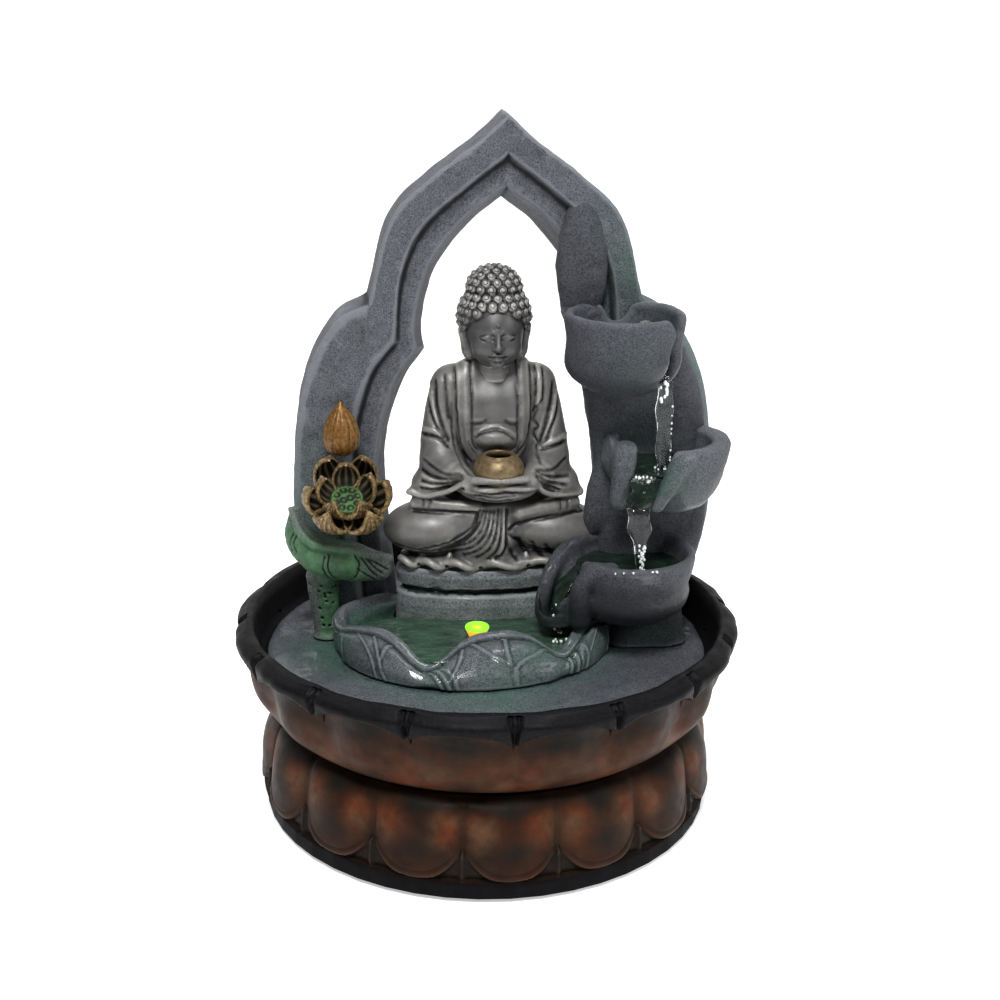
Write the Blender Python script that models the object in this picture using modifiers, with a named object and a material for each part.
"""Tabletop water fountain: a seated figure under an ogee arch, with spill cups and a lotus basin.

All sizes below are in millimetres and are scaled to metres as meshes are made. The origin is the
centre of the base on the table, +Z is up and the figure faces -Y.
"""

import math

import bmesh
import bpy
from mathutils import Matrix, Vector

MM = 0.001
GAP = 0.3  # clearance between pieces that touch on the real object

# Driving dimensions
PETALS = 16
TRAY_R = 93.8
TRAY_Z = (2.0, 9.0)
PEDESTAL_TOP = 41.5
BASIN_LIP = 82.0
BASIN_MOUTH_R = 97.0
BASIN_TIP_R = 105.0
SUMP_R = 70.0
SUMP_FLOOR = 11.0
LEDGE_Z = 63.7  # the deck rests on this ledge inside the basin
DECK_R = 91.5
DECK_TOP = 68.0
SEAT_TOP = 98.0
ARCH_X = 9.0  # centre line of the arch
ARCH_FRONT = 14.0
ARCH_BACK = 42.0
FIGURE_X, FIGURE_Y = 4.7, 20.0
SCREW_RING = 85.5
FOOT_RING = 75.0
PUMP_Y, PUMP_Z = 12.0, 27.0  # the pump's rotor axis runs along X here
TUBE_R = 3.5
FLOWER_AT = (-57.1, -5.0, 130.6)
FLOWER_TILT = 40.0  # degrees the flower leans forward from upright
LAMP_AT = (-6.3, -23.5)

PARTS = "tabletop_fountain"
CUTTERS = "cutters"

COLOURS = {  # base colour, roughness, metallic
    "basin_brown": ((0.075, 0.040, 0.026), 0.45, 0.0),
    "tray_black": ((0.012, 0.012, 0.014), 0.5, 0.0),
    "stone_grey": ((0.075, 0.080, 0.090), 0.8, 0.0),
    "figure_grey": ((0.060, 0.062, 0.066), 0.4, 0.1),
    "pond_green": ((0.040, 0.085, 0.060), 0.6, 0.0),
    "leaf_green": ((0.050, 0.170, 0.060), 0.5, 0.0),
    "antique_gold": ((0.230, 0.140, 0.055), 0.4, 0.3),
    "pod_green": ((0.060, 0.250, 0.050), 0.5, 0.0),
    "rubber_black": ((0.010, 0.010, 0.010), 0.8, 0.0),
    "steel": ((0.550, 0.550, 0.560), 0.3, 1.0),
    "pump_black": ((0.015, 0.015, 0.017), 0.4, 0.0),
    "ceramic_white": ((0.750, 0.740, 0.700), 0.3, 0.0),
    "clear_tube": ((0.600, 0.640, 0.640), 0.2, 0.0),
    "lamp_yellow": ((0.900, 0.650, 0.050), 0.2, 0.0),
}


# ---------------------------------------------------------------- making and combining


def clear_scene():
    for obj in list(bpy.data.objects):
        bpy.data.objects.remove(obj, do_unlink=True)


def collection(name):
    found = bpy.data.collections.get(name)
    if found is None:
        found = bpy.data.collections.new(name)
        bpy.context.scene.collection.children.link(found)
    return found


def material(name):
    made = bpy.data.materials.get(name)
    if made is None:
        colour, roughness, metallic = COLOURS[name]
        made = bpy.data.materials.new(name)
        made.use_nodes = True
        shader = made.node_tree.nodes["Principled BSDF"]
        shader.inputs["Base Color"].default_value = (*colour, 1.0)
        shader.inputs["Roughness"].default_value = roughness
        shader.inputs["Metallic"].default_value = metallic
    return made


def new_object(name, data, finish=None):
    """An object in the part's collection, or in the cutters' collection when it has no finish."""
    obj = bpy.data.objects.new(name, data)
    if finish is None:
        collection(CUTTERS).objects.link(obj)
        obj.hide_render = True
        obj.display_type = "WIRE"
    else:
        collection(PARTS).objects.link(obj)
        data.materials.append(material(finish))
    return obj


def from_bmesh(name, bm, finish=None):
    bmesh.ops.recalc_face_normals(bm, faces=bm.faces)
    mesh = bpy.data.meshes.new(name)
    bm.to_mesh(mesh)
    bm.free()
    return new_object(name, mesh, finish)


def baked(obj):
    """The object with its modifiers or its curve made into a plain mesh."""
    bpy.context.view_layer.update()
    graph = bpy.context.evaluated_depsgraph_get()
    mesh = bpy.data.meshes.new_from_object(obj.evaluated_get(graph))
    name, place, is_part = obj.name, obj.matrix_world.copy(), not obj.hide_render
    finish = obj.data.materials[0].name if obj.data.materials else None
    bpy.data.objects.remove(obj, do_unlink=True)
    bm = bmesh.new()
    bm.from_mesh(mesh)
    bmesh.ops.remove_doubles(bm, verts=bm.verts, dist=0.00001)
    bmesh.ops.recalc_face_normals(bm, faces=bm.faces)
    bm.to_mesh(mesh)
    bm.free()
    mesh.materials.clear()
    made = new_object(name, mesh, finish if is_part else None)
    made.matrix_world = place
    return made


def combine(obj, other, operation="DIFFERENCE"):
    """Boolean of obj with other, applied at once. other is a cutter and is removed afterwards."""
    modifier = obj.modifiers.new(operation.lower(), "BOOLEAN")
    modifier.operation = operation
    modifier.object = other
    made = baked(obj)
    bpy.data.objects.remove(other, do_unlink=True)
    return made


def turned_to(obj, heading, at):
    """The object's mesh turned about Z by heading degrees, and the object moved to at."""
    obj.data.transform(Matrix.Rotation(math.radians(heading), 4, "Z"))
    obj.location = Vector(at) * MM
    return obj


def smooth(obj, degrees=40):
    obj.data.shade_smooth()
    obj.data.set_sharp_from_angle(angle=math.radians(degrees))
    return obj


# ---------------------------------------------------------------- basic shapes


def turned(name, profile, finish=None, steps=32, closed=False, at=(0, 0, 0), along="Z"):
    """A profile of (radius, height) turned about Z. It runs down its outer side, from top to bottom."""
    mesh = bpy.data.meshes.new(name)
    count = len(profile)
    edges = [(i, i + 1) for i in range(count - 1)] + ([(count - 1, 0)] if closed else [])
    mesh.from_pydata([(r * MM, 0, z * MM) for r, z in profile], edges, [])
    obj = new_object(name, mesh, finish)
    screw = obj.modifiers.new("turn", "SCREW")
    screw.steps = screw.render_steps = steps
    screw.use_merge_vertices = True
    screw.merge_threshold = 0.00005
    obj = baked(obj)
    if along == "X":
        obj.data.transform(Matrix.Rotation(math.radians(90), 4, "Y"))
    if along == "Y":
        obj.data.transform(Matrix.Rotation(math.radians(-90), 4, "X"))
    obj.location = Vector(at) * MM
    return smooth(obj)


def rod(name, radius, low, high, finish=None, steps=16, at=(0, 0, 0), along="Z"):
    profile = [(0, high), (radius, high), (radius, low), (0, low)]
    return turned(name, profile, finish, steps, at=at, along=along)


def ring(name, inner, outer, low, high, finish=None, steps=16, at=(0, 0, 0), along="Z"):
    profile = [(inner, high), (outer, high), (outer, low), (inner, low)]
    return turned(name, profile, finish, steps, closed=True, at=at, along=along)


def block(name, low, high, finish=None, bevel=0.0):
    """A box between two corners, with its edges rounded where bevel is given."""
    bm = bmesh.new()
    bmesh.ops.create_cube(bm, size=1.0)
    size = Vector(high) - Vector(low)
    middle = (Vector(high) + Vector(low)) / 2
    bmesh.ops.scale(bm, vec=size * MM, verts=bm.verts)
    bmesh.ops.translate(bm, vec=middle * MM, verts=bm.verts)
    if bevel:
        bmesh.ops.bevel(
            bm, geom=bm.edges[:], offset=bevel * MM, segments=2, profile=0.5, affect="EDGES"
        )
    return from_bmesh(name, bm, finish)


def loft(name, rings, finish=None):
    """A closed solid through rings of equally many points, with a face across each end."""
    bm = bmesh.new()
    made = [[bm.verts.new(Vector(p) * MM) for p in ring_points] for ring_points in rings]
    count = len(rings[0])
    for lower, upper in zip(made, made[1:]):
        for i in range(count):
            j = (i + 1) % count
            bm.faces.new((lower[i], lower[j], upper[j], upper[i]))
    ends = [bm.faces.new(made[0]), bm.faces.new(made[-1])]
    bmesh.ops.triangulate(bm, faces=ends)
    return smooth(from_bmesh(name, bm, finish))


def pipe(name, points, radius, finish=None, radii=None, sides=2):
    """A round bar along a smooth curve through the points."""
    curve = bpy.data.curves.new(name, "CURVE")
    curve.dimensions = "3D"
    curve.bevel_depth = radius * MM
    curve.bevel_resolution = sides
    curve.use_fill_caps = True
    spline = curve.splines.new("POLY")
    spline.points.add(len(points) - 1)
    for i, p in enumerate(points):
        spline.points[i].co = (*(Vector(p) * MM), 1.0)
        spline.points[i].radius = radii[i] if radii else 1.0
    return smooth(baked(new_object(name, curve, finish)))


def through(points, count):
    """count points on a Catmull-Rom curve through the given ones, evenly spaced along it."""
    pts = [Vector(p) for p in points]
    pts = [2 * pts[0] - pts[1], *pts, 2 * pts[-1] - pts[-2]]
    dense = []
    fine = 16
    for a, b, c, d in zip(pts, pts[1:], pts[2:], pts[3:]):
        for k in range(fine):
            t = k / fine
            dense.append(
                0.5
                * (
                    2 * b
                    + (c - a) * t
                    + (2 * a - 5 * b + 4 * c - d) * t * t
                    + (3 * b - a - 3 * c + d) * t**3
                )
            )
    dense.append(pts[-2])
    lengths = [0.0]
    for a, b in zip(dense, dense[1:]):
        lengths.append(lengths[-1] + (b - a).length)
    found = []
    k = 0
    for i in range(count):
        want = lengths[-1] * i / (count - 1)
        while k < len(dense) - 2 and lengths[k + 1] < want:
            k += 1
        share = (want - lengths[k]) / max(lengths[k + 1] - lengths[k], 1e-9)
        found.append(dense[k].lerp(dense[k + 1], min(share, 1.0)))
    return found


def cast_lump(name, blobs, voxel, share, finish):
    """Rounded lumps run together into one body: (centre, radii) or (centre, radii, turn about Y)."""
    bm = bmesh.new()
    for centre, radii, *turn in blobs:
        place = Matrix.Translation(Vector(centre) * MM)
        if turn:
            place = place @ Matrix.Rotation(math.radians(turn[0]), 4, "Y")
        place = place @ Matrix.Diagonal((*(Vector(radii) * MM), 1.0))
        bmesh.ops.create_uvsphere(bm, u_segments=20, v_segments=12, radius=1.0, matrix=place)
    obj = from_bmesh(name, bm, finish)
    remesh = obj.modifiers.new("run_together", "REMESH")
    remesh.mode = "VOXEL"
    remesh.voxel_size = voxel * MM
    soften = obj.modifiers.new("soften", "SMOOTH")
    soften.iterations = 3
    thin = obj.modifiers.new("thin_out", "DECIMATE")
    thin.ratio = share
    return smooth(baked(obj), 60)


# ---------------------------------------------------------------- base and basin


def petal_wave(angle):
    """0 along the groove between two petals, 1 along a petal's middle."""
    return abs(math.cos(angle * PETALS / 2)) ** 0.6


def scallop(obj, depth_at, first_groove):
    """Presses the grooves between the petals in by depth_at(radius, height). first_groove is an angle."""
    for vertex in obj.data.vertices:
        x, y, z = vertex.co / MM
        radius = math.hypot(x, y)
        wave = petal_wave(math.atan2(y, x) - first_groove + math.pi / PETALS)
        depth = depth_at(radius, z) * (1 - wave)
        scale = (radius - depth) / radius if radius > 1 else 1
        vertex.co.x *= scale
        vertex.co.y *= scale


def make_base_tray():
    low, high = TRAY_Z
    profile = [(0, 4.5), (91.2, 4.5), (91.2, high), (TRAY_R, high), (TRAY_R, low), (0, low)]
    tray = turned("base_tray", profile, "tray_black", steps=48)
    for k, (x, y) in enumerate(around(4, SCREW_RING)):
        tray = combine(tray, rod(f"screw_way_{k}", 1.8, 0, 6, at=(x, y, 0)))
        tray = combine(tray, rod(f"screw_seat_{k}", 3.4, 0, 3.2, at=(x, y, 0)))
    return tray


def around(count, radius, first=45.0):
    """Points evenly spaced round a circle, starting at the angle first in degrees."""
    for k in range(count):
        angle = math.radians(first + 360 / count * k)
        yield radius * math.cos(angle), radius * math.sin(angle)


def make_feet_and_screws():
    for k, (x, y) in enumerate(around(4, FOOT_RING), 1):
        foot = [(0, 1.7), (6.0, 1.7), (6.6, 1.2), (6.2, 0.0), (0, 0)]
        turned(f"rubber_foot_{k}", foot, "rubber_black", steps=20, at=(x, y, 0))
    for k, (x, y) in enumerate(around(4, SCREW_RING), 1):
        screw = [(0, 14), (1.2, 13), (1.2, 3.0), (2.9, 2.9), (2.9, 2.1), (0, 2.1)]
        turned(f"base_screw_{k}", screw, "steel", steps=12, at=(x, y, 0))


def make_pedestal():
    bottom = TRAY_Z[1] + GAP
    outside = [(84, PEDESTAL_TOP), (89.5, 38.5), (93, 32), (94, 25), (94.2, 17), (95.6, 11.5)]
    outside.append((94, bottom))
    inside = [(88.5, bottom), (88.5, 28), (85, 34), (74.5, 37.5), (74.5, PEDESTAL_TOP)]
    shell = turned("pedestal_shell", outside + inside, "basin_brown", steps=64, closed=True)

    def depth(radius, z):
        return 2.4 * math.sin(math.pi * (z - bottom) / (PEDESTAL_TOP - bottom)) if radius > 89 else 0

    scallop(shell, depth, math.pi / PETALS)
    for k, (x, y) in enumerate(around(4, SCREW_RING)):
        shell = combine(shell, rod(f"boss_{k}", 4.6, 4.9, 24, at=(x, y, 0)), "UNION")
        shell = combine(shell, rod(f"boss_hole_{k}", 1.6, 4, 16, steps=12, at=(x, y, 0)))
    return smooth(shell)


def make_basin():
    inside = [
        (0, SUMP_FLOOR),
        (SUMP_R, SUMP_FLOOR),
        (SUMP_R, 46),
        (88, 46),
        (88, LEDGE_Z),
        (94.5, LEDGE_Z),
        (BASIN_MOUTH_R, BASIN_LIP),
    ]
    outside = [
        (100.5, 81.6),
        (BASIN_TIP_R, 77),
        (103.6, 70),
        (101.2, 62),
        (97.5, 54),
        (92, 47.3),
        (85, 42.6),
        (84.4, PEDESTAL_TOP + GAP + 0.2),
        (SUMP_R + 3, PEDESTAL_TOP + GAP + 0.2),
        (SUMP_R + 3, 8),
        (0, 8),
    ]
    basin = turned("water_basin", inside + outside, "basin_brown", steps=64)

    def depth(radius, z):
        """Deeper up the outside of the bowl. The inside and the lip stay round."""
        outside = radius > 95 + (z - 64) * 0.14 and 43 < z < 79
        return 3.2 * min(1, (z - 43) / 20) if outside else 0

    scallop(basin, depth, 0)
    basin = combine(basin, rod("grommet_hole", 4.4, 88, 110, at=(0, 0, 73.5), along="Y"))
    grommet = [(6.0, 92.9), (6.0, 94.5), (4.0, 94.6), (4.0, 102.5), (2.6, 102.5), (2.6, 92.9)]
    turned("cord_grommet", grommet[::-1], "rubber_black", 20, closed=True, at=(0, 0, 73.5), along="Y")
    return smooth(basin)


# ---------------------------------------------------------------- pump


def make_pump():
    centre = (0, PUMP_Y, PUMP_Z)
    body = block("pump_housing", (18, 0, 15), (46, 24, 39), "pump_black", bevel=1.5)
    body = combine(body, rod("rotor_well", 7.0, 26, 47, at=centre, along="X"))
    gland = rod("cable_gland", 2.6, 13.5, 19, at=centre, along="X")
    body = combine(body, gland, "UNION")
    smooth(body)

    volute = rod("pump_volute", 12.0, 46.3, 53.7, "pump_black", 32, at=centre, along="X")
    volute = combine(volute, rod("spigot", 2.0, 36, 44, at=(50, PUMP_Y, 0)), "UNION")
    volute = combine(volute, rod("chamber", 9.6, 46, 54, steps=32, at=centre, along="X"))
    volute = combine(volute, rod("spigot_bore", 1.1, 33, 48, steps=10, at=(50, PUMP_Y, 0)))
    smooth(volute)

    cover = rod("intake_cover", 12.0, 54.0, 57.0, "pump_black", 32, at=centre, along="X")
    for k, (y, z) in enumerate(around(4, 6.0, first=0)):
        hole = rod(f"intake_{k}", 2.2, 53, 58, at=(0, PUMP_Y + y, PUMP_Z + z), along="X")
        cover = combine(cover, hole)
    cover = combine(cover, rod("shaft_seat", 1.4, 53.5, 55.2, steps=12, at=centre, along="X"))
    smooth(cover)

    dial = rod("flow_regulator", 9.0, 57.3, 58.8, "ceramic_white", 24, at=centre, along="X")
    for k, (y, z) in enumerate(around(2, 6.0, first=90)):
        hole = rod(f"dial_{k}", 2.2, 57, 59.5, at=(0, PUMP_Y + y, PUMP_Z + z), along="X")
        dial = combine(dial, hole)
    tab = block("dial_tab", (57.3, PUMP_Y - 1.2, PUMP_Z + 8), (60.6, PUMP_Y + 1.2, PUMP_Z + 12))
    dial = combine(dial, tab, "UNION")
    smooth(dial)

    make_rotor(centre)
    rod("pump_shaft", 1.0, 26.6, 54.9, "ceramic_white", 12, at=centre, along="X")
    ring("shaft_bush_rear", 1.35, 3.0, 26.4, 28.0, "rubber_black", at=centre, along="X")
    ring("shaft_bush_front", 1.35, 3.0, 52.2, 53.6, "rubber_black", at=centre, along="X")
    cup = [(0, 14.7), (2.0, 14.7), (2.0, 13.4), (5.2, 11.3), (4.4, 11.3), (1.2, 12.8), (0, 12.8)]
    spots = [(22.5, 5), (22.5, 19), (41.5, 5), (41.5, 19)]
    for k, (x, y) in enumerate(spots, 1):
        turned(f"suction_cup_{k}", cup, "rubber_black", steps=16, at=(x, y, 0))


def make_rotor(centre):
    """The magnet, with six vanes on a hub at its front end, bored for the shaft."""
    rotor = rod("impeller_rotor", 6.4, 28.4, 46.8, "pump_black", 24, at=centre, along="X")
    rotor = combine(rotor, rod("hub", 2.8, 46.5, 51.8, at=centre, along="X"), "UNION")
    for k in range(6):
        vane = block(f"vane_{k}", (46.6, -0.6, 2.0), (51.4, 0.6, 8.6))
        vane.data.transform(Matrix.Rotation(math.radians(60 * k), 4, "X"))
        vane.location = Vector(centre) * MM
        rotor = combine(rotor, vane, "UNION")
    rotor = combine(rotor, rod("rotor_bore", 1.35, 27, 53, steps=12, at=centre, along="X"))
    return smooth(rotor)


# ---------------------------------------------------------------- arch

# Half outlines of the arch as (distance from its centre line, height), apex to notch and notch to foot.
ARCH_OUTER = (
    [(0, 282), (11.5, 271), (30.5, 257), (46.5, 240.5), (55.8, 208)],
    [(55.8, 208), (70.5, 198.5), (83.2, 171.5), (88, 126), (83, 95), (72, 68.3)],
)
ARCH_GROOVE = (
    [(0, 266), (16.7, 253.3), (34.3, 237.5), (42.8, 218), (45.4, 192)],
    [(45.4, 192), (55.2, 179.5), (62.4, 156), (64, 128), (60, 68.3)],
)
ARCH_FACE = (
    [(0, 252.5), (16.9, 239.8), (31, 220.6), (37, 199), (36, 187.5)],
    [(36, 187.5), (45.5, 173), (52, 148), (53, 122), (50, 68.3)],
)
ARCH_BACK_EDGE = (
    [(0, 246), (13, 235.5), (27, 217), (32.3, 196), (31.5, 183.5)],
    [(31.5, 183.5), (41, 169), (47.5, 148), (48.3, 125), (43.5, 68.3)],
)
ARCH_STEP = 5.0  # how far the inner band is set back from the front


def arch_line(halves, counts, side):
    """One side of an outline, apex first, as (x, z) points with both stretches evenly spaced."""
    upper, lower = (through([(d, z, 0) for d, z in half], n) for half, n in zip(halves, counts))
    return [(ARCH_X + side * p.x, p.y) for p in [*upper, *lower[1:]]]


def arch_section_lines(side, counts):
    """The arch's surface lines with their depths, from the outer back edge round to the inner one."""
    step_back = ARCH_FRONT + ARCH_STEP
    outer = arch_line(ARCH_OUTER, counts, side)
    groove = arch_line(ARCH_GROOVE, counts, side)
    face = arch_line(ARCH_FACE, counts, side)
    inner = arch_line(ARCH_BACK_EDGE, counts, side)
    step = [(g[0] * 0.75 + f[0] * 0.25, g[1] * 0.75 + f[1] * 0.25) for g, f in zip(groove, face)]
    return [
        (outer, ARCH_BACK),
        (outer, ARCH_FRONT),
        (groove, ARCH_FRONT),
        (step, step_back),
        (face, step_back - 1.0),
        (inner, ARCH_BACK),
    ]


def make_arch(tube_path):
    counts = (14, 15)
    rings = []
    for side in (-1, 1):
        lines = arch_section_lines(side, counts)
        total = len(lines[0][0])
        order = range(total - 1, -1, -1) if side < 0 else range(1, total)
        for i in order:
            section = [(line[i][0], depth, line[i][1]) for line, depth in lines]
            rings.append(section)
    arch = loft("arch_frame", rings, "stone_grey")
    arch = combine(arch, pipe("tube_way", tube_path, TUBE_R + 0.5))
    return smooth(arch)


# ---------------------------------------------------------------- cups and column

# Each cup: centre x, y, rim height, radius, depth, spout heading in degrees, spout width, spout floor.
CUPS = {
    "upper_cup": (55.1, -6.0, 208.0, 25.3, 31.0, -30.0, 9.0, 182.0),
    "middle_cup": (73.9, -8.0, 158.0, 23.8, 31.0, -130.0, 13.0, 133.0),
    "lower_cup": (57.3, -15.0, 112.3, 26.5, 28.0, -168.0, 10.0, 91.0),
}
CUP_WALL = 4.0


def bowl_profile(radius, rim, depth):
    """The rounded outer side of a cup, from its rim down to its underside."""
    steps = 7
    points = [(radius, rim)]
    for k in range(1, steps):
        angle = math.radians(90 * k / steps)
        points.append((radius * (math.cos(angle) ** 0.55), rim - depth * math.sin(angle) ** 1.3))
    return points


def cup_body(name, spec, grow=0.0, finish=None):
    x, y, rim, radius, depth = spec[:5]
    side = bowl_profile(radius + grow, rim + grow, depth + 2 * grow)
    bottom = rim - depth - grow
    solid = turned(name, [(0, rim + grow), *side, (0, bottom)], finish, steps=28, at=(x, y, 0))
    limit = ARCH_FRONT - GAP + grow
    beyond = block(name + "_beyond", (x - 60, limit, rim - 60), (x + 60, limit + 80, rim + 20))
    return combine(solid, beyond)


def make_cup(name, spec):
    x, y, rim, radius, depth, heading, width, floor = spec
    cup = cup_body(name, spec, finish="stone_grey")
    side = bowl_profile(radius - CUP_WALL, rim + 1, depth - CUP_WALL + 1)
    inside = [(0, rim + 1), *side, (0, rim - depth + CUP_WALL)]
    hollow = turned(name + "_hollow", inside, at=(x, y, 0), steps=28)
    back = ARCH_FRONT - GAP - CUP_WALL
    behind = block(name + "_behind", (x - 60, back, rim - 60), (x + 60, back + 80, rim + 20))
    cup = combine(cup, combine(hollow, behind))
    if name == "lower_cup":
        trough = block("trough", (20, -width / 2 - 3, floor - 5), (34, width / 2 + 3, floor + 10))
        cup = combine(cup, turned_to(trough, heading, (x, y, 0)), "UNION")
    slot = block(name + "_slot", (8, -width / 2, floor), (50, width / 2, rim + 10))
    return smooth(combine(cup, turned_to(slot, heading, (x, y, 0))))


# Centre x, half width, front and back of the column at each height.
COLUMN = [
    (DECK_TOP + GAP, 66.5, 16.0, -14.0),
    (84.0, 66.5, 16.0, -12.0),
    (100.0, 67.0, 20.5, -2.0),
    (116.0, 68.5, 22.0, 1.0),
    (150.0, 68.0, 24.0, 2.0),
    (168.0, 65.0, 24.5, 2.0),
    (186.0, 60.0, 23.0, 2.0),
]


def column_solid(name, grow=0.0, finish=None):
    back = ARCH_FRONT - GAP
    curve = [math.radians(180 + 180 * k / 14) for k in range(15)]
    rings = []
    for i, (z, x, half, front) in enumerate(COLUMN):
        z -= grow if i == 0 else 0
        depth = back - front + grow
        rings.append([(x + (half + grow) * math.cos(a), back + depth * math.sin(a), z) for a in curve])
    return loft(name, rings, finish)


def make_column():
    column = column_solid("waterfall_column", finish="stone_grey")
    for name, spec in CUPS.items():
        column = combine(column, cup_body(name + "_room", spec, grow=GAP))
    return smooth(column)


# ---------------------------------------------------------------- deck, pond and seat


def make_deck():
    deck = rod("stone_deck", DECK_R, LEDGE_Z + GAP, DECK_TOP, "stone_grey", steps=48)
    holes = [(66.0, 26.0, 4.4), (LAMP_AT[0], LAMP_AT[1], 4.6)]
    holes += [(x, y, 3.0) for x, y in around(24, 76, first=0) if y > 62]
    for k, (x, y, radius) in enumerate(holes):
        deck = combine(deck, rod(f"deck_hole_{k}", radius, 60, 72, at=(x, y, 0)))
    return smooth(deck)


POND_AT = (-6.4, -5.0)
POND_DIPS = ((-112, 13, 9.0), (-54, 12, 8.0), (-168, 16, 3.0), (-12, 15, 3.0))  # angle, spread, drop


def pond_rings():
    """Rings from the outer foot, up the leaning wall to the wavy rim and down inside to the floor."""
    count = 48
    rings = [[] for _ in range(8)]
    for k in range(count):
        degrees = 360 * k / count - 180
        cos, sin = math.cos(math.radians(degrees)), math.sin(math.radians(degrees))
        drop = sum(
            depth * math.exp(-(((degrees - at + 180) % 360 - 180) / spread) ** 2)
            for at, spread, depth in POND_DIPS
        )
        foot = Vector((cos * 57, sin * (47 if sin < 0 else 30)))
        rim = Vector((cos * (55.8 + drop * 0.1), sin * (28 + drop * 1.2 if sin < 0 else 24)))
        top = 84.5 - drop
        bulge = foot.lerp(rim, 0.18) * 1.02
        shoulder = foot.lerp(rim, 0.6) * 1.03
        inner = rim * 0.95
        basin = foot * 0.86
        floor = DECK_TOP + GAP
        stack = [
            (foot, floor),
            (bulge, floor + (top - floor) * 0.42),
            (shoulder, floor + (top - floor) * 0.82),
            (rim, top),
            (inner, top - 0.6),
            (shoulder * 0.93, floor + (top - floor) * 0.72),
            (basin, floor + 4.0),
            (basin * 0.9, floor + 2.6),
        ]
        for ring_points, (place, z) in zip(rings, stack):
            ring_points.append((POND_AT[0] + place.x, POND_AT[1] + place.y, z))
    return rings


def make_pond():
    pond = loft("lotus_pond", pond_rings(), "pond_green")
    limit = ARCH_FRONT - 1.0
    pond = combine(pond, block("pond_back", (-90, limit, 60), (90, limit + 60, 100)))
    pond = combine(pond, seat_solid("pond_seat_room", grow=GAP))
    pond = combine(pond, column_solid("pond_column_room", grow=GAP))
    lamp = rod("pond_lamp_hole", 4.6, 66, 74, at=(*LAMP_AT, 0))
    return smooth(combine(pond, lamp))


SEAT_X = 3.0
SEAT_TIERS = [  # height, half width, front depth
    (DECK_TOP + GAP, 40.5, 14.5),
    (82.0, 41.0, 15.5),
    (86.5, 40.0, 14.5),
    (88.0, 37.5, 12.0),
    (89.5, 39.5, 14.5),
    (95.5, 40.5, 16.0),
    (SEAT_TOP, 39.5, 15.5),
]


def seat_solid(name, grow=0.0, finish=None):
    """A two-tier rock ledge, rounded in front of the arch and square between the arch's legs."""
    join = ARCH_FRONT + GAP
    front = [math.radians(180 + 180 * k / 16) for k in range(17)]
    rings = []
    for i, (z, half, depth) in enumerate(SEAT_TIERS):
        z += grow if i == len(SEAT_TIERS) - 1 else (-grow if i == 0 else 0)
        wide, deep = half + grow, depth + grow
        outline = [(SEAT_X + wide * math.cos(a), join + deep * math.sin(a), z) for a in front]
        left, right = outline[0][0], outline[-1][0]
        rings.append([*outline, (right, join + 3, z), (left, join + 3, z)])
    ledge = loft(name, rings, finish)
    half_rear = 40.5 + grow
    low = (ARCH_X - half_rear, join, SEAT_TIERS[0][0] - grow)
    rear = block(name + "_rear", low, (ARCH_X + half_rear, ARCH_BACK, SEAT_TOP - 0.6 + grow))
    return combine(ledge, rear, "UNION")


def make_seat():
    seat = seat_solid("seat_ledge", finish="stone_grey")
    seat = combine(seat, cup_body("seat_cup_room", CUPS["lower_cup"], grow=GAP))
    return smooth(seat)


# ---------------------------------------------------------------- figure


def make_figure():
    def at(x, y, z):
        return (FIGURE_X + x, FIGURE_Y + y, SEAT_TOP + GAP + 0.6 + z)

    blobs = [(at(0, 0, 4), (43, 19, 6)), (at(0, -17, 3), (26, 6, 5)), (at(0, -2, 12), (30, 17, 11))]
    blobs += [(at(0, 6, 42), (22, 14, 36)), (at(0, 4, 24), (27, 17, 18)), (at(0, 3, 66), (24, 12.5, 15))]
    blobs += [(at(0, 2, 82), (7, 7, 9))]
    for side in (-1, 1):
        blobs += [
            (at(side * 26, -1, 14), (17, 16, 11), side * 8),
            (at(side * 24, 3, 56), (8, 9, 22), side * -8),
            (at(side * 27, -1, 38), (8.5, 10, 11)),
            (at(side * 18, -8, 33), (14, 8, 7), side * 14),
            (at(side * 14, 2, 95), (1.8, 3, 9)),
        ]
    blobs += [(at(0, -15, 31), (13, 7, 5)), (at(0, 0, 97), (12.5, 13.5, 14.5))]
    blobs += [(at(0, 2, 104), (14, 15, 12)), (at(0, 4, 115), (8.5, 8.5, 7.4))]
    figure = cast_lump("seated_figure", blobs, 1.6, 0.12, "figure_grey")
    bottom = SEAT_TOP + GAP
    under = block("figure_under", (-80, -40, bottom - 40), (90, 80, bottom))
    figure = combine(figure, under)
    figure = combine(figure, alms_bowl_solid("bowl_room", grow=GAP))
    alms_bowl_solid("alms_bowl", finish="antique_gold")
    return figure


def alms_bowl_solid(name, grow=0.0, finish=None):
    outside = [(6.0, 13.4), (6.9, 13.0), (9.4, 10.4), (10.0, 7.0), (9.2, 3.6), (6.4, 0.8), (3.5, 0.0)]
    outside = [(r + grow, z + (grow if z > 7 else -grow)) for r, z in outside]
    inside = [(0, outside[0][1])] if grow else [(0, 3.4), (4.0, 4.0), (5.9, 7.0), (5.4, 11.6)]
    profile = [*inside, *outside, (0, outside[-1][1])]
    return turned(name, profile, finish, steps=20, at=(FIGURE_X, FIGURE_Y - 18, SEAT_TOP + 36.5))


# ---------------------------------------------------------------- lotus group


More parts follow.
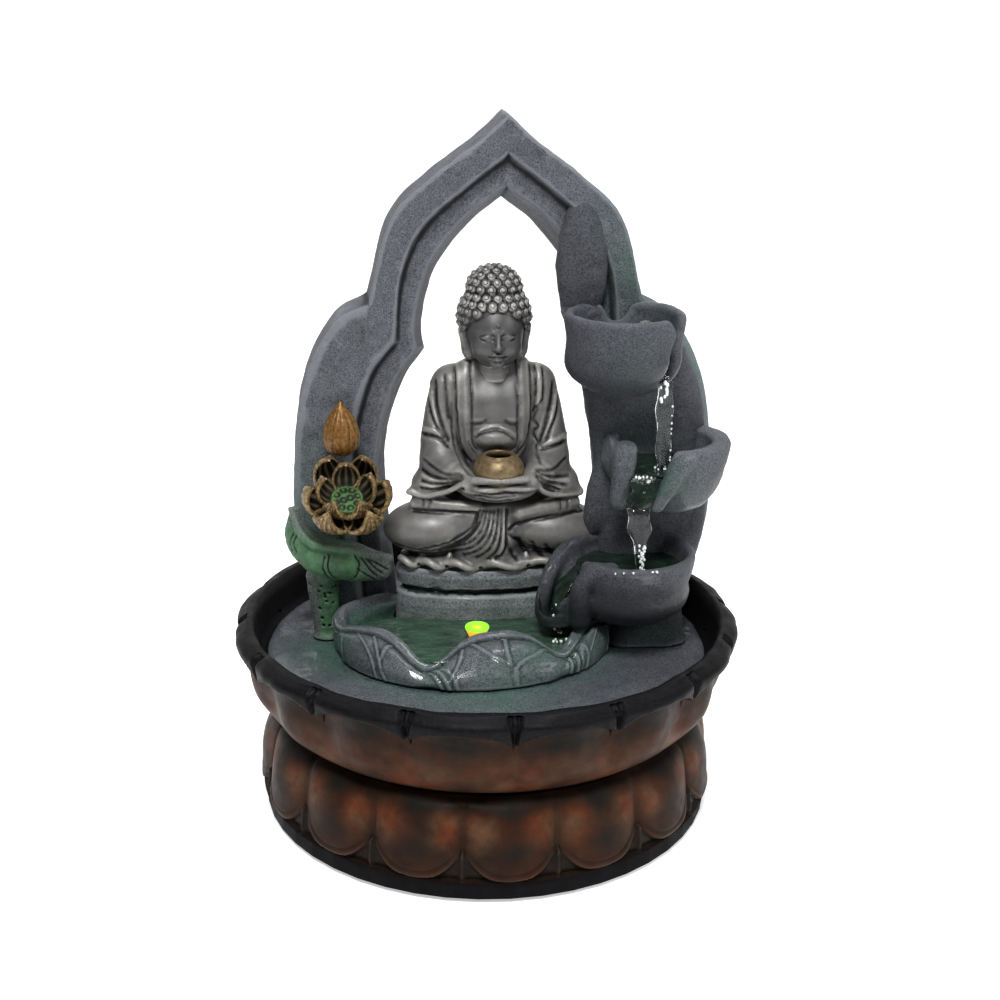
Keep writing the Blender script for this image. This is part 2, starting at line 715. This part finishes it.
def make_leaf_and_stem():
    route = [(-78, 7, 124), (-75.5, 3.5, 114), (-67, 2, 106), (-56, 2, 104.5), (-45, 2, 101.5)]
    radii = [3.5, 7.0, 9.0, 8.8, 6.0]
    points = through(route, 12)
    widths = [w.x for w in through([(r, i * 10.0, 0) for i, r in enumerate(radii)], 12)]
    leaf = pipe("lotus_leaf", points, 1.0, "leaf_green", radii=widths, sides=3)
    combine(leaf, block("leaf_back", (-100, ARCH_FRONT - GAP, 60), (0, 60, 160)))
    stem = [(0, 95.5), (5.3, 95.5), (5.0, 84), (5.5, DECK_TOP + GAP), (0, DECK_TOP + GAP)]
    turned("leaf_stem", stem, "leaf_green", steps=16, at=(-66.5, 8, 0))


def make_bud():
    tip = [(0, 11.5), (1.6, 9.5), (4.4, 5.0), (6.8, -0.5)]
    heel = [(7.3, -4.5), (6.0, -8.6), (3.2, -10.8), (0, -11.3)]
    bud = turned("lotus_bud", tip + heel, "antique_gold", steps=20, at=(-58.7, 8.5, 158.5))
    limit = ARCH_FRONT - GAP
    return combine(bud, block("bud_back", (-80, limit, 130), (-40, 60, 180)))


def petal_sheet(line, half_width, thickness):
    """One cupped petal along line, (distance out, height) pairs, as a grid for each of its two sides."""
    last = len(line) - 1
    grids = []
    for side in (1, -1):
        grid = []
        for i, (out, up) in enumerate(line):
            before, after = line[max(i - 1, 0)], line[min(i + 1, last)]
            along = Vector((after[0] - before[0], after[1] - before[1])).normalized()
            half = half_width * math.sin(math.pi * min(0.97, 0.2 + 0.8 * i / last)) ** 0.7
            row = []
            for across in (-1, -0.5, 0, 0.5, 1):
                lift = (across * half) ** 2 * 0.05 + side * thickness / 2
                row.append(Vector((out - along.y * lift, across * half, up + along.x * lift)))
            grid.append(row)
        grids.append(grid)
    return grids


def add_petal(bm, grids, turn):
    top, low = ([[bm.verts.new(turn @ (p * MM)) for p in row] for row in grid] for grid in grids)
    for grid in (top, low):
        for a, b in zip(grid, grid[1:]):
            for j in range(4):
                bm.faces.new((a[j], a[j + 1], b[j + 1], b[j]))
    edges = []
    for grid in (top, low):
        edge = grid[0] + [row[-1] for row in grid[1:]] + grid[-1][-2::-1]
        edges.append(edge + [row[0] for row in grid[-2:0:-1]])
    for i in range(len(edges[0])):
        j = (i + 1) % len(edges[0])
        bm.faces.new((edges[0][i], edges[0][j], edges[1][j], edges[1][i]))


def petal_ring(name, count, first, line, half_width, hub, finish):
    """A ring of petals on a hub, run together into one body. hub is a list of (radius, height)."""
    bm = bmesh.new()
    for k in range(count):
        turn = Matrix.Rotation(math.radians(first + 360 * k / count), 4, "Z")
        add_petal(bm, petal_sheet(line, half_width, 1.7), turn)
    (top_r, top_z), (low_r, low_z) = hub
    place = Matrix.Translation((0, 0, (top_z + low_z) / 2 * MM))
    bmesh.ops.create_cone(
        bm, cap_ends=True, segments=20, radius1=low_r * MM, radius2=top_r * MM,
        depth=(top_z - low_z) * MM, matrix=place,
    )
    obj = from_bmesh(name, bm, finish)
    remesh = obj.modifiers.new("run_together", "REMESH")
    remesh.mode = "VOXEL"
    remesh.voxel_size = 0.6 * MM
    thin = obj.modifiers.new("thin_out", "DECIMATE")
    thin.ratio = 0.065
    obj = baked(obj)
    tilt = Matrix.Rotation(math.radians(FLOWER_TILT), 4, "X")
    obj.data.transform(Matrix.Translation(Vector(FLOWER_AT) * MM) @ tilt)
    return smooth(obj, 60)


def make_flower():
    outer_line = [(4.5, -0.6), (8.5, 0.0), (12.5, 1.8), (15.5, 4.8), (17.5, 8.6), (18.2, 12.0)]
    inner_line = [(4.0, 3.6), (7.0, 4.4), (9.4, 6.8), (10.8, 10.0), (11.6, 13.0), (11.2, 15.4)]
    petal_ring("lotus_outer_petals", 6, 0, outer_line, 6.2, ((6.5, 1.6), (4.0, -7.0)), "antique_gold")
    petal_ring("lotus_inner_petals", 5, 18, inner_line, 4.8, ((5.2, 4.2), (5.2, 2.4)), "antique_gold")
    profile = [(0, 8.0), (4.6, 7.8), (5.6, 7.2), (4.6, 5.8), (2.6, 4.9), (0, 4.9)]
    pod = turned("lotus_seed_pod", profile, "pod_green", steps=20)
    tilt = Matrix.Rotation(math.radians(FLOWER_TILT), 4, "X")
    pod.data.transform(Matrix.Translation(Vector(FLOWER_AT) * MM) @ tilt)
    stalk = rod("flower_stalk", 2.6, -34, -7.4, "leaf_green", steps=12)
    stalk.data.transform(Matrix.Translation(Vector(FLOWER_AT) * MM) @ tilt)
    combine(stalk, block("stalk_back", (-80, ARCH_FRONT - GAP, 80), (-30, 60, 160)))


# ---------------------------------------------------------------- water tube and lamp


def make_tube():
    low = [(50, 12, 40), (50, 12, 46), (51.5, 13.3, 50), (57.5, 18.6, 54.5), (64, 24.2, 58)]
    rise = [(66, 26, 62), (66, 26, 68)]
    high = [(66, 26, 180), (66, 24, 190), (65.5, 18, 196), (65, 11, 197.5), (65, 7, 197.5)]
    points = [*through(low + rise, 15), *through(high, 10)]
    tube = pipe("water_tube", points, TUBE_R, "clear_tube")
    bore = pipe("tube_bore", points, TUBE_R - 1.1)
    for vertex in bore.data.vertices:
        if vertex.co.z < 41 * MM:
            vertex.co.z -= 4 * MM
        if vertex.co.y < 7.5 * MM:
            vertex.co.y -= 4 * MM
    combine(tube, bore)
    way = [(66, 26, 60), (66, 26, 170), *[p for p in points if p.z > 175], (65, 0, 197.5)]
    return way


def make_lamp():
    x, y = LAMP_AT
    rod("lamp_housing", 4.2, 58.0, 71.5, "pump_black", 20, at=(x, y, 0))
    lens = [(0, 82.6), (3.4, 83.6), (4.8, 82.8), (3.6, 77.0), (2.4, 71.8), (0, 71.8)]
    turned("lamp_lens", lens, "lamp_yellow", steps=20, at=(x, y, 0))
    rod("lamp_lead", 1.4, 53.3, 57.7, "rubber_black", 12, at=(x, y, 0))
    block("lamp_connector", (x - 3, y - 2.2, 46), (x + 3, y + 2.2, 53), "ceramic_white", bevel=0.6)


# ---------------------------------------------------------------- whole object


def main():
    clear_scene()
    make_base_tray()
    make_feet_and_screws()
    make_pedestal()
    make_basin()
    make_pump()
    tube_path = make_tube()
    make_arch(tube_path)
    for name, spec in CUPS.items():
        cup = make_cup(name, spec)
        if name == "upper_cup":
            combine(cup, rod("tube_hole", TUBE_R + 0.5, 5, 20, at=(65, 0, 197.5), along="Y"))
    make_column()
    make_deck()
    make_pond()
    make_seat()
    make_figure()
    make_leaf_and_stem()
    make_bud()
    make_flower()
    make_lamp()


main()
